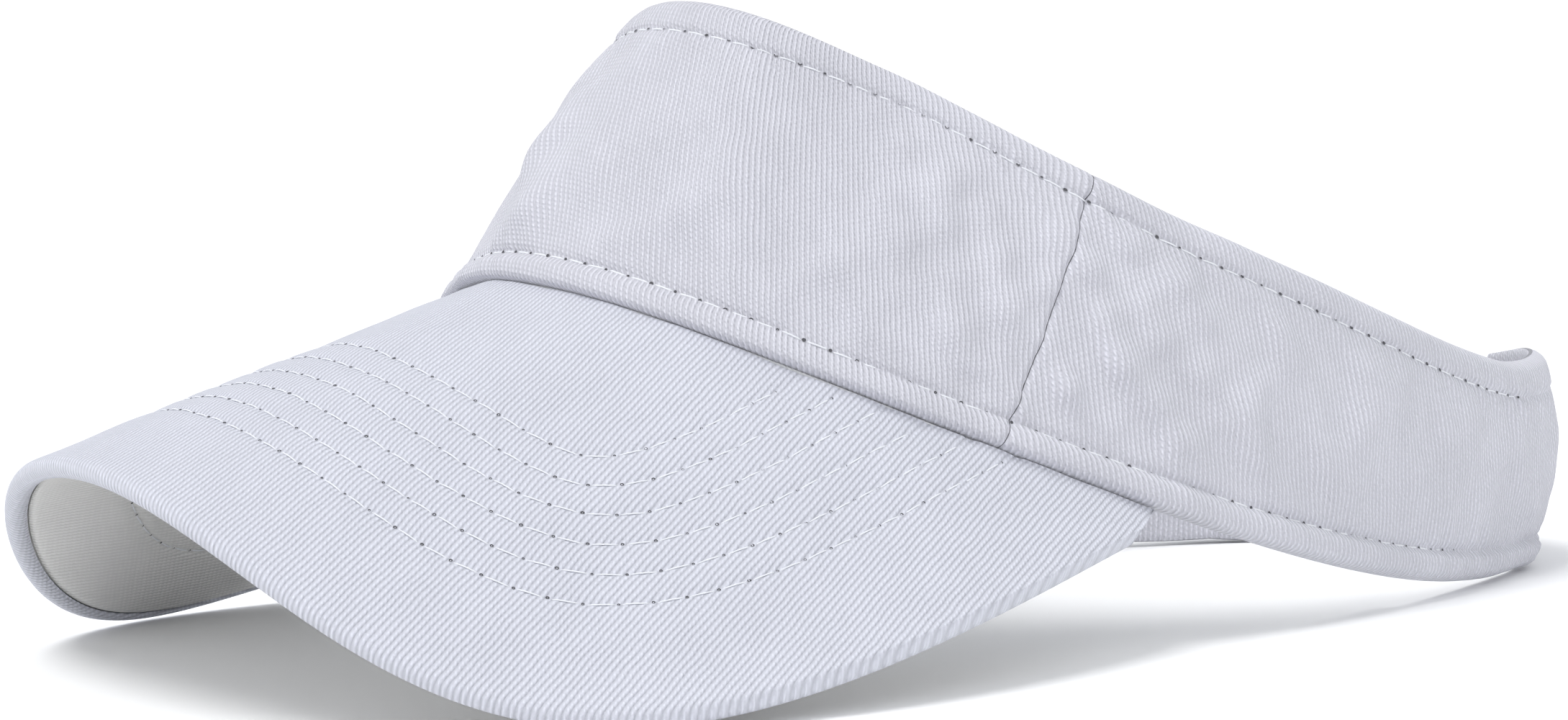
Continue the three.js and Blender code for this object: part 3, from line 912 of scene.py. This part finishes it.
# mottle gives random light and dark patches in the colour; on the band it is strong, partly painted shade
# standing in for the soft shading of its folds.
band_look = dict(strength=1.0, shade=0.3, mottle=0.26)
band_twill = twill("band_twill", BAND_WHITE, 90, 1.05, dashes=0.55, **band_look)
front_twill = twill("front_twill", BAND_WHITE, 115, 0.9, dashes=0.5, **band_look)
bill_look = dict(shade=0.28, mottle=0.14, crisp=True, dashes=0.45)
bill_twill = twill("bill_twill", BILL_WHITE, BILL_ANGLE, BILL_WALE, **bill_look)
under_cloth = twill("under_cloth", UNDER_BOUNCE_WHITE, BILL_ANGLE, BILL_WALE, strength=0.5, shade=0.12)
lining_cloth = plain_cloth("lining_cloth", (0.74, 0.75, 0.78))
sweat_cloth = plain_cloth("sweat_cloth", (0.76, 0.77, 0.79), threads=0.8, strength=0.8)
tape_cloth = plain_cloth("tape_cloth", (0.8, 0.81, 0.82), threads=1.6)
label_cloth = plain_cloth("label_cloth", (0.86, 0.86, 0.86), threads=2.2, strength=0.25, roughness=0.5)
thread_white = grainy("thread_white", (0.80, 0.815, 0.85), 0.6, 2600, 0.5, 0.00012)
# Painted shade: dark cones stand for the shadow inside each needle hole.
needle_hole_shade = grainy("needle_hole_shade", (0.09, 0.09, 0.10), 0.95, 900, 0.2, 0.0001)
hook_tape = grainy("hook_tape", (0.78, 0.79, 0.8), 0.4, 1500, 0.4, 0.0002)
loop_tape = grainy("loop_tape", (0.8, 0.81, 0.82), 0.95, 1100, 1.0, 0.0006, sheen=0.4)
buckram_cloth = grainy("buckram_cloth", (0.78, 0.78, 0.74), 0.85, 1400, 0.8, 0.0003)
board_plastic = grainy("board_plastic", (0.82, 0.82, 0.79), 0.45, 400, 0.15, 0.0002)


# ---- Band pieces ----
slit = SEAM_SLIT / HALF_GIRTH


def seam(side, shift=0.0):
    """A side seam as u at the low and at the top edge. side is 1 on the left."""
    return side * (SEAM_LOW + shift), side * (SEAM_HIGH + shift)


def upright(u):
    return float(u), float(u)


def level(height):
    """A height that is the same all round the band."""
    return lambda wall: height + 0 * wall


def from_top(gap):
    """A height at this distance below the wall's top."""
    return lambda wall: wall - gap


LEFT_END = rear_u(LEFT_END_GAP)
RIGHT_END = -2 + rear_u(RIGHT_END_GAP)
FRONT_SPAN = seam(-1, -slit), seam(1, -slit)
LEFT_SPAN = seam(1, slit), upright(LEFT_END)
RIGHT_SPAN = seam(-1, slit), upright(RIGHT_END)


def finish_piece(piece, body, slot, *nodes):
    """Puts a piece on its body, and hides the CAD nodes that it stands for. slot is not used."""
    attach(piece, body)
    if nodes:
        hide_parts(*nodes)
    return piece


def make_band():
    both, first = (True, True), (True, False)
    front = shell_panel("forehead_panel", *FRONT_SPAN, both, front_twill, curved_cut=True)
    finish_piece(front, "root", "white_twill", "front_panel")
    left = shell_panel("left_panel", *LEFT_SPAN, first, band_twill)
    finish_piece(left, "root", "white_twill", "left_side_panel")
    right = shell_panel("right_panel", *RIGHT_SPAN, first, band_twill)
    finish_piece(right, "root", "white_twill", "right_side_panel")


def make_linings():
    waves = ripples(31, 14, 40)

    def eased(x, y):
        return 0.12 * waves(x, y)

    heights = level(LINING_INSET), from_top(LINING_INSET)
    linings = (
        ("forehead_lining", FRONT_SPAN, "front_facing"),
        ("left_lining", LEFT_SPAN, "left_facing"),
        ("right_lining", RIGHT_SPAN, "right_facing"),
    )
    for name, span, node in linings:
        piece = wall_strip(name, *span, *heights, LINING_DEPTH, LINING_THICK, lining_cloth, eased)
        finish_piece(piece, "root", "cotton_lining", node)


def make_sweatband():
    waves = ripples(32, 9, 30, upright=0.5)

    def puffed(x, y):
        edge = np.minimum(y - LAYER_LOW, SWEAT_TOP - y)
        return 0.10 * waves(x, y) + 0.45 * gauss(edge - 1.8, 0.5)

    ends = upright(-SWEAT_REACH), upright(SWEAT_REACH)
    heights = level(LAYER_LOW), level(SWEAT_TOP)
    band = wall_strip(
        "sweatband_cloth", *ends, *heights, SWEAT_DEPTH, SWEAT_THICK, sweat_cloth, puffed, 1.0
    )
    finish_piece(band, "root", "cotton_lining", "sweatband")


def make_tapes():
    ends = upright(-SEAM_HIGH), upright(SEAM_HIGH)
    heights = level(LAYER_LOW), level(BILL_TAPE_TOP)
    tape = wall_strip("bill_tape", *ends, *heights, TAPE_DEPTH, BILL_TAPE_THICK, tape_cloth)
    finish_piece(tape, "root", "woven_tape", "bill_seam_tape")
    half = SEAM_TAPE_HALF / HALF_GIRTH
    heights = level(SEAM_TAPE_LOW), from_top(SEAM_TAPE_FROM_TOP)
    for name, side in (("left", 1), ("right", -1)):
        ends = seam(side, -half), seam(side, half)
        strip = wall_strip(
            f"{name}_tape", *ends, *heights, TAPE_DEPTH, SEAM_TAPE_THICK, tape_cloth, None, 0.7
        )
        finish_piece(strip, "root", "woven_tape", f"{name}_seam_tape")


def make_label():
    def curled(x, y):
        return 0.35 * gauss(y - LABEL_TOP, 8) + 0.1 * np.sin(x * 0.5)

    ends = upright(LABEL_PLACE), upright(LABEL_PLACE + LABEL_WIDTH / HALF_GIRTH)
    heights = level(LABEL_LOW), level(LABEL_TOP)
    label = wall_strip(
        "blank_label", *ends, *heights, TAPE_DEPTH, LABEL_THICK, label_cloth, curled, 0.5
    )
    finish_piece(label, "root", "label_satin", "care_label")


# ---- Closure ----
STRAP_ROOT = 26.0
STRAP_FOLD = 13.0
STRAP_TIP = -60.0
STRAP_RAMP = 9.0
STRAP_MARGIN = 1.2
STRAP_CORNER = 9.0
PATCH = 0.7
PATCH_MARGIN = 3.6
HOOK_SPAN = (0.0, -55.0)
LOOP_SPAN = (3.0, -76.0)
LOOP_DEPTH = -GAP - PATCH
HOOK_DEPTH = LOOP_DEPTH - GAP - PATCH
STRAP_OVER = HOOK_DEPTH - GAP - CLOTH
STRAP_ON = -GAP - CLOTH
HOOK_TAPE_THICK = 0.35
FOLD_HALF = 2.5
HOOK_PITCH = 1.5
HOOK_SIZE = 0.08


def strap_depth(distance):
    """The strap lies on the left panel at its root, and over the tapes past its fold."""
    t = step((STRAP_FOLD - distance) / STRAP_RAMP)
    return STRAP_ON + (STRAP_OVER - STRAP_ON) * t


def strap_margin(distance):
    """The strap's distance from the band's edges, which grows round its rounded tip."""
    left = np.clip(STRAP_CORNER - np.abs(distance - STRAP_TIP), 0, STRAP_CORNER)
    inset = STRAP_CORNER - np.sqrt(np.clip(STRAP_CORNER**2 - left**2, 0, None))
    return STRAP_MARGIN + np.minimum(inset, STRAP_CORNER * 0.9)


def rear_piece(name, distance, margin, depth, thick, material, relief=None):
    """A layer of the closure at these distances from the rear centre."""
    distance = np.asarray(distance, float)[:, None]
    u = rear_u(distance)
    height = wall_height(u)
    share = np.linspace(0, 1, 36)[None]
    edge = margin / height
    w = edge + (1 - 2 * edge) * share
    lift = 0 if relief is None else relief(distance + 0 * w, w * height)
    front = wall_point(u + 0 * w, w, depth - lift + 0 * w)
    back = wall_point(u + 0 * w, w, depth - lift + thick + 0 * w)
    uv = np.stack([-distance + 0 * w, w * height], -1)
    return thick_sheet(name, front, back, uv, material)


def make_strap():
    waves = ripples(41, 12, 34)

    def hemmed(x, y):
        return 0.1 * waves(x, y)

    even = np.linspace(STRAP_ROOT, STRAP_TIP + STRAP_CORNER, 110)
    tip = STRAP_TIP + STRAP_CORNER * (1 - np.sin(np.linspace(0, np.pi / 2, 22)[1:]))
    distance = np.concatenate([even, tip])
    column = distance[:, None]
    strap = rear_piece(
        "strap_cloth", distance, strap_margin(column), strap_depth(column), CLOTH, band_twill, hemmed
    )
    fold_at = np.array([STRAP_FOLD + FOLD_HALF, STRAP_FOLD - FOLD_HALF])
    fold = place(wall_point(rear_u(fold_at), np.array([0.5, 0.5]), np.array([STRAP_ON, STRAP_ON])))
    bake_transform(strap)
    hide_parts("closure_strap_root", "closure_strap")


def make_tape_patches():
    fuzz = ripples(42, 0.9, 2.4, count=24)

    def piled(x, y):
        return 0.09 * fuzz(x, y)

    def stations(span):
        return np.linspace(span[0], span[1], int(abs(span[0] - span[1]) * 1.5))

    hook = rear_piece(
        "hook_tape", stations(HOOK_SPAN), PATCH_MARGIN, HOOK_DEPTH, HOOK_TAPE_THICK, hook_tape
    )
    finish_piece(hook, "strap", "hook_nylon", "hook_patch")
    finish_piece(make_hooks(), "strap", "hook_nylon")
    loop = rear_piece(
        "loop_tape", stations(LOOP_SPAN), PATCH_MARGIN, LOOP_DEPTH, PATCH, loop_tape, piled
    )
    finish_piece(loop, "root", "loop_nylon", "loop_patch")


def make_hooks():
    """Rows of small bent hooks on the strap's inner face."""
    vertices, faces = [], []
    count = 0
    corners = ((-1, -1), (1, -1), (1, 1), (-1, 1))
    for i, distance in enumerate(np.arange(HOOK_SPAN[0] - 1, HOOK_SPAN[1] + 1, -HOOK_PITCH)):
        side = 1 if i % 2 else -1
        path = [(0, 0), (0, 0.3), (0.08 * side, 0.45), (0.26 * side, 0.44), (0.34 * side, 0.3)]
        for w in np.arange(0.19 + 0.03 * (i % 2), 0.82, 0.062):
            u = rear_u(np.array([distance, distance - 0.5, distance]))
            depth = HOOK_DEPTH + np.array([0.3, 0.3, 1.3])
            base, ahead, under = wall_point(u, np.array([w, w, w]), depth)
            along = unit(ahead - base)
            deep = unit(under - base)
            across = np.cross(along, deep)
            for a, d in path:
                centre = base + along * a + deep * d
                for x, y in corners:
                    vertices.append(centre + along * x * HOOK_SIZE + across * y * HOOK_SIZE)
            for r in range(len(path) - 1):
                for j in range(4):
                    n = (j + 1) % 4
                    a = count + r * 4
                    faces.append((a + j, a + n, a + 4 + n, a + 4 + j))
            faces.append((count + 3, count + 2, count + 1, count))
            top = count + (len(path) - 1) * 4
            faces.append((top, top + 1, top + 2, top + 3))
            count += len(path) * 4
    return new_piece("hook_pile", np.array(vertices), faces, None, [hook_tape])


# ---- Bill pieces ----
def make_bill():
    top = bill_cover("bill_upper_cloth", True, bill_twill)
    finish_piece(top, "root", "white_twill", "bill_top_cover")
    under = bill_cover("bill_lower_cloth", False, under_cloth)
    finish_piece(under, "root", "white_twill", "bill_under_cover")


# ---- Rows of stitching ----
BILL_THREAD = dict(pitch=ROW_PITCH, radius=0.13, hole_size=0.25, proud=0.1)
TOP_ROW_STOP = 56
LOW_ROW_STOP = 84
SWEAT_ROW_REACH = 0.615
SWEAT_ROW_HEIGHTS = (2.8, 28.2)
SWEAT_PITCH = 3.2
STRAP_PITCH = 3.0
THREAD_SINK = 0.05
THREAD_LIFT = 0.03


def make_bill_stitches():
    for i, (s, reach) in enumerate(rows):
        normal = bill_normal(s, reach)
        top = bill_point(s, reach, -bill_lift(s, reach, True))
        below = bill_point(s, reach, BILL_THICK + bill_lift(s, reach, False))
        lines = [(top, normal), (below, -normal)]
        row = stitch_row(f"bill_stitches_{i + 1}", lines, seed=50 + i, **BILL_THREAD)
        finish_piece(row, "root", "white_thread", f"bill_thread_{i + 1}")


def make_hem_stitches():
    """The hems' rows, outside as far as the closure and inside all the way."""
    left = float(rear_u(STRAP_ROOT + 1))
    right = -float(rear_u(-LOOP_SPAN[1] + 1))
    hem_lines = (
        ("top_stitches", from_top(TOP_STITCH), "top_hem_thread", 60, TOP_ROW_STOP),
        ("bottom_stitches", level(LOW_STITCH), "bottom_hem_thread", 61, LOW_ROW_STOP),
    )
    for name, height_of, node, seed, stop in hem_lines:
        outside = wall_line(right, float(rear_u(stop)), height_of)
        inside = wall_line(right, left, height_of, HEM_THICK, True)
        row = stitch_row(name, [outside, inside], seed=seed, proud=0.22)
        finish_piece(row, "root", "white_thread", node)


def make_sweatband_stitches():
    depth = SWEAT_DEPTH + SWEAT_THICK - THREAD_SINK
    ends = -SWEAT_ROW_REACH, SWEAT_ROW_REACH
    lines = [wall_line(*ends, level(height), depth, True) for height in SWEAT_ROW_HEIGHTS]
    row = stitch_row("sweatband_stitches", lines, pitch=SWEAT_PITCH, seed=62)
    finish_piece(row, "root", "white_thread")


def strap_box(first, last, low, high):
    """Points and outward normals round a rectangle of stitching on the strap."""
    corners = [(first, low), (last, low), (last, high), (first, high), (first, low)]
    distance, share = [], []
    for (d0, w0), (d1, w1) in zip(corners, corners[1:]):
        t = np.linspace(0, 1, 60)[:-1]
        distance.append(d0 + (d1 - d0) * t)
        share.append(w0 + (w1 - w0) * t)
    distance, share = np.concatenate(distance), np.concatenate(share)
    u = rear_u(distance)
    depth = strap_depth(distance) - THREAD_LIFT
    points = wall_point(u, share, depth)
    return points, unit(wall_point(u, share, depth - 1) - points)


def make_closure_stitches():
    box = strap_box(HOOK_SPAN[0] - 1.5, HOOK_SPAN[1] + 1.5, 0.19, 0.81)
    row = stitch_row("hook_stitches", [box], pitch=STRAP_PITCH, seed=71)
    finish_piece(row, "strap", "white_thread")
    root = strap_box(STRAP_ROOT - 1.5, STRAP_FOLD + 4, 0.1, 0.9)
    row = stitch_row("strap_root_stitches", [root], pitch=STRAP_PITCH, seed=72)
    finish_piece(row, "root", "white_thread")


# ---- Kept CAD nodes, all inside the cloth ----
def dress_inner_nodes():
    for node, material in (("front_buckram", buckram_cloth), ("bill_board", board_plastic)):
        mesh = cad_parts[node].data
        mesh.materials.clear()
        mesh.materials.append(material)


# ---- Studio ----
FLOOR_HALF = 6.0
FLOOR_Z = -0.0004
BACKDROP_RADIUS = 7.5
BACKDROP_GLOW = 1.05
SKY_COLOR = (0.95, 0.97, 1.0, 1)
SKY_STRENGTH = 0.78


def sun_light(name, strength, softness, toward):
    """Light from a broad patch of sky in one direction."""
    data = bpy.data.lights.new(name, "SUN")
    data.energy = strength
    data.angle = math.radians(softness)
    lamp = link_object(name, data)
    lamp.rotation_euler = Vector(toward).to_track_quat("Z", "Y").to_euler()


def make_floor():
    mesh = bpy.data.meshes.new("floor")
    corners = [(x * FLOOR_HALF, y * FLOOR_HALF, 0) for x, y in ((-1, -1), (1, -1), (1, 1), (-1, 1))]
    mesh.from_pydata(corners, [], [(0, 1, 2, 3)])
    paper = Finish("floor_paper", 0.95)
    paper.set("Base Color", (0.98, 0.98, 0.98, 1))
    mesh.materials.append(paper.material)
    floor = link_object("floor", mesh)
    floor.location.z = FLOOR_Z


def make_backdrop():
    """A white surround that only the camera sees."""
    bpy.ops.mesh.primitive_uv_sphere_add(segments=48, ring_count=24, radius=BACKDROP_RADIUS)
    backdrop = bpy.context.object
    backdrop.name = "backdrop"
    paper = Finish("backdrop_paper", 0.5)
    paper.set("Base Color", (0, 0, 0, 1))
    paper.set("Emission Color", (1, 1, 1, 1))
    paper.set("Emission Strength", BACKDROP_GLOW)
    backdrop.data.materials.append(paper.material)
    for ray in ("visible_diffuse", "visible_glossy", "visible_shadow", "visible_transmission"):
        setattr(backdrop, ray, False)


def make_lights():
    world = bpy.data.worlds.new("studio")
    world.use_nodes = True
    sky = world.node_tree.nodes["Background"]
    sky.inputs["Color"].default_value = SKY_COLOR
    sky.inputs["Strength"].default_value = SKY_STRENGTH
    bpy.context.scene.world = world
    bpy.context.scene.view_settings.view_transform = "Standard"
    sun_light("key", 1.6, 30, (-0.05, -0.4, 0.95))
    sun_light("fill", 0.35, 70, (0.9, -0.2, 0.5))


def make_camera():
    data = bpy.data.cameras.new("camera")
    data.lens = LENS
    data.clip_start = 0.01
    camera = link_object("camera", data)
    back = Vector((
        math.sin(VIEW_AZIMUTH) * math.cos(VIEW_ELEVATION),
        -math.cos(VIEW_AZIMUTH) * math.cos(VIEW_ELEVATION),
        math.sin(VIEW_ELEVATION),
    ))
    camera.location = VIEW_TARGET + back * VIEW_DISTANCE
    turn = back.to_track_quat("Z", "Y").to_matrix().to_4x4()
    camera.rotation_euler = (turn @ Matrix.Rotation(VIEW_ROLL, 4, "Z")).to_euler()
    bpy.context.scene.camera = camera


make_camera()
make_band()
make_linings()
make_sweatband()
make_tapes()
make_label()
make_bill()
make_bill_stitches()
make_hem_stitches()
make_sweatband_stitches()
make_strap()
make_tape_patches()
make_closure_stitches()
dress_inner_nodes()
make_floor()
make_backdrop()
make_lights()

bpy.context.view_layer.update()
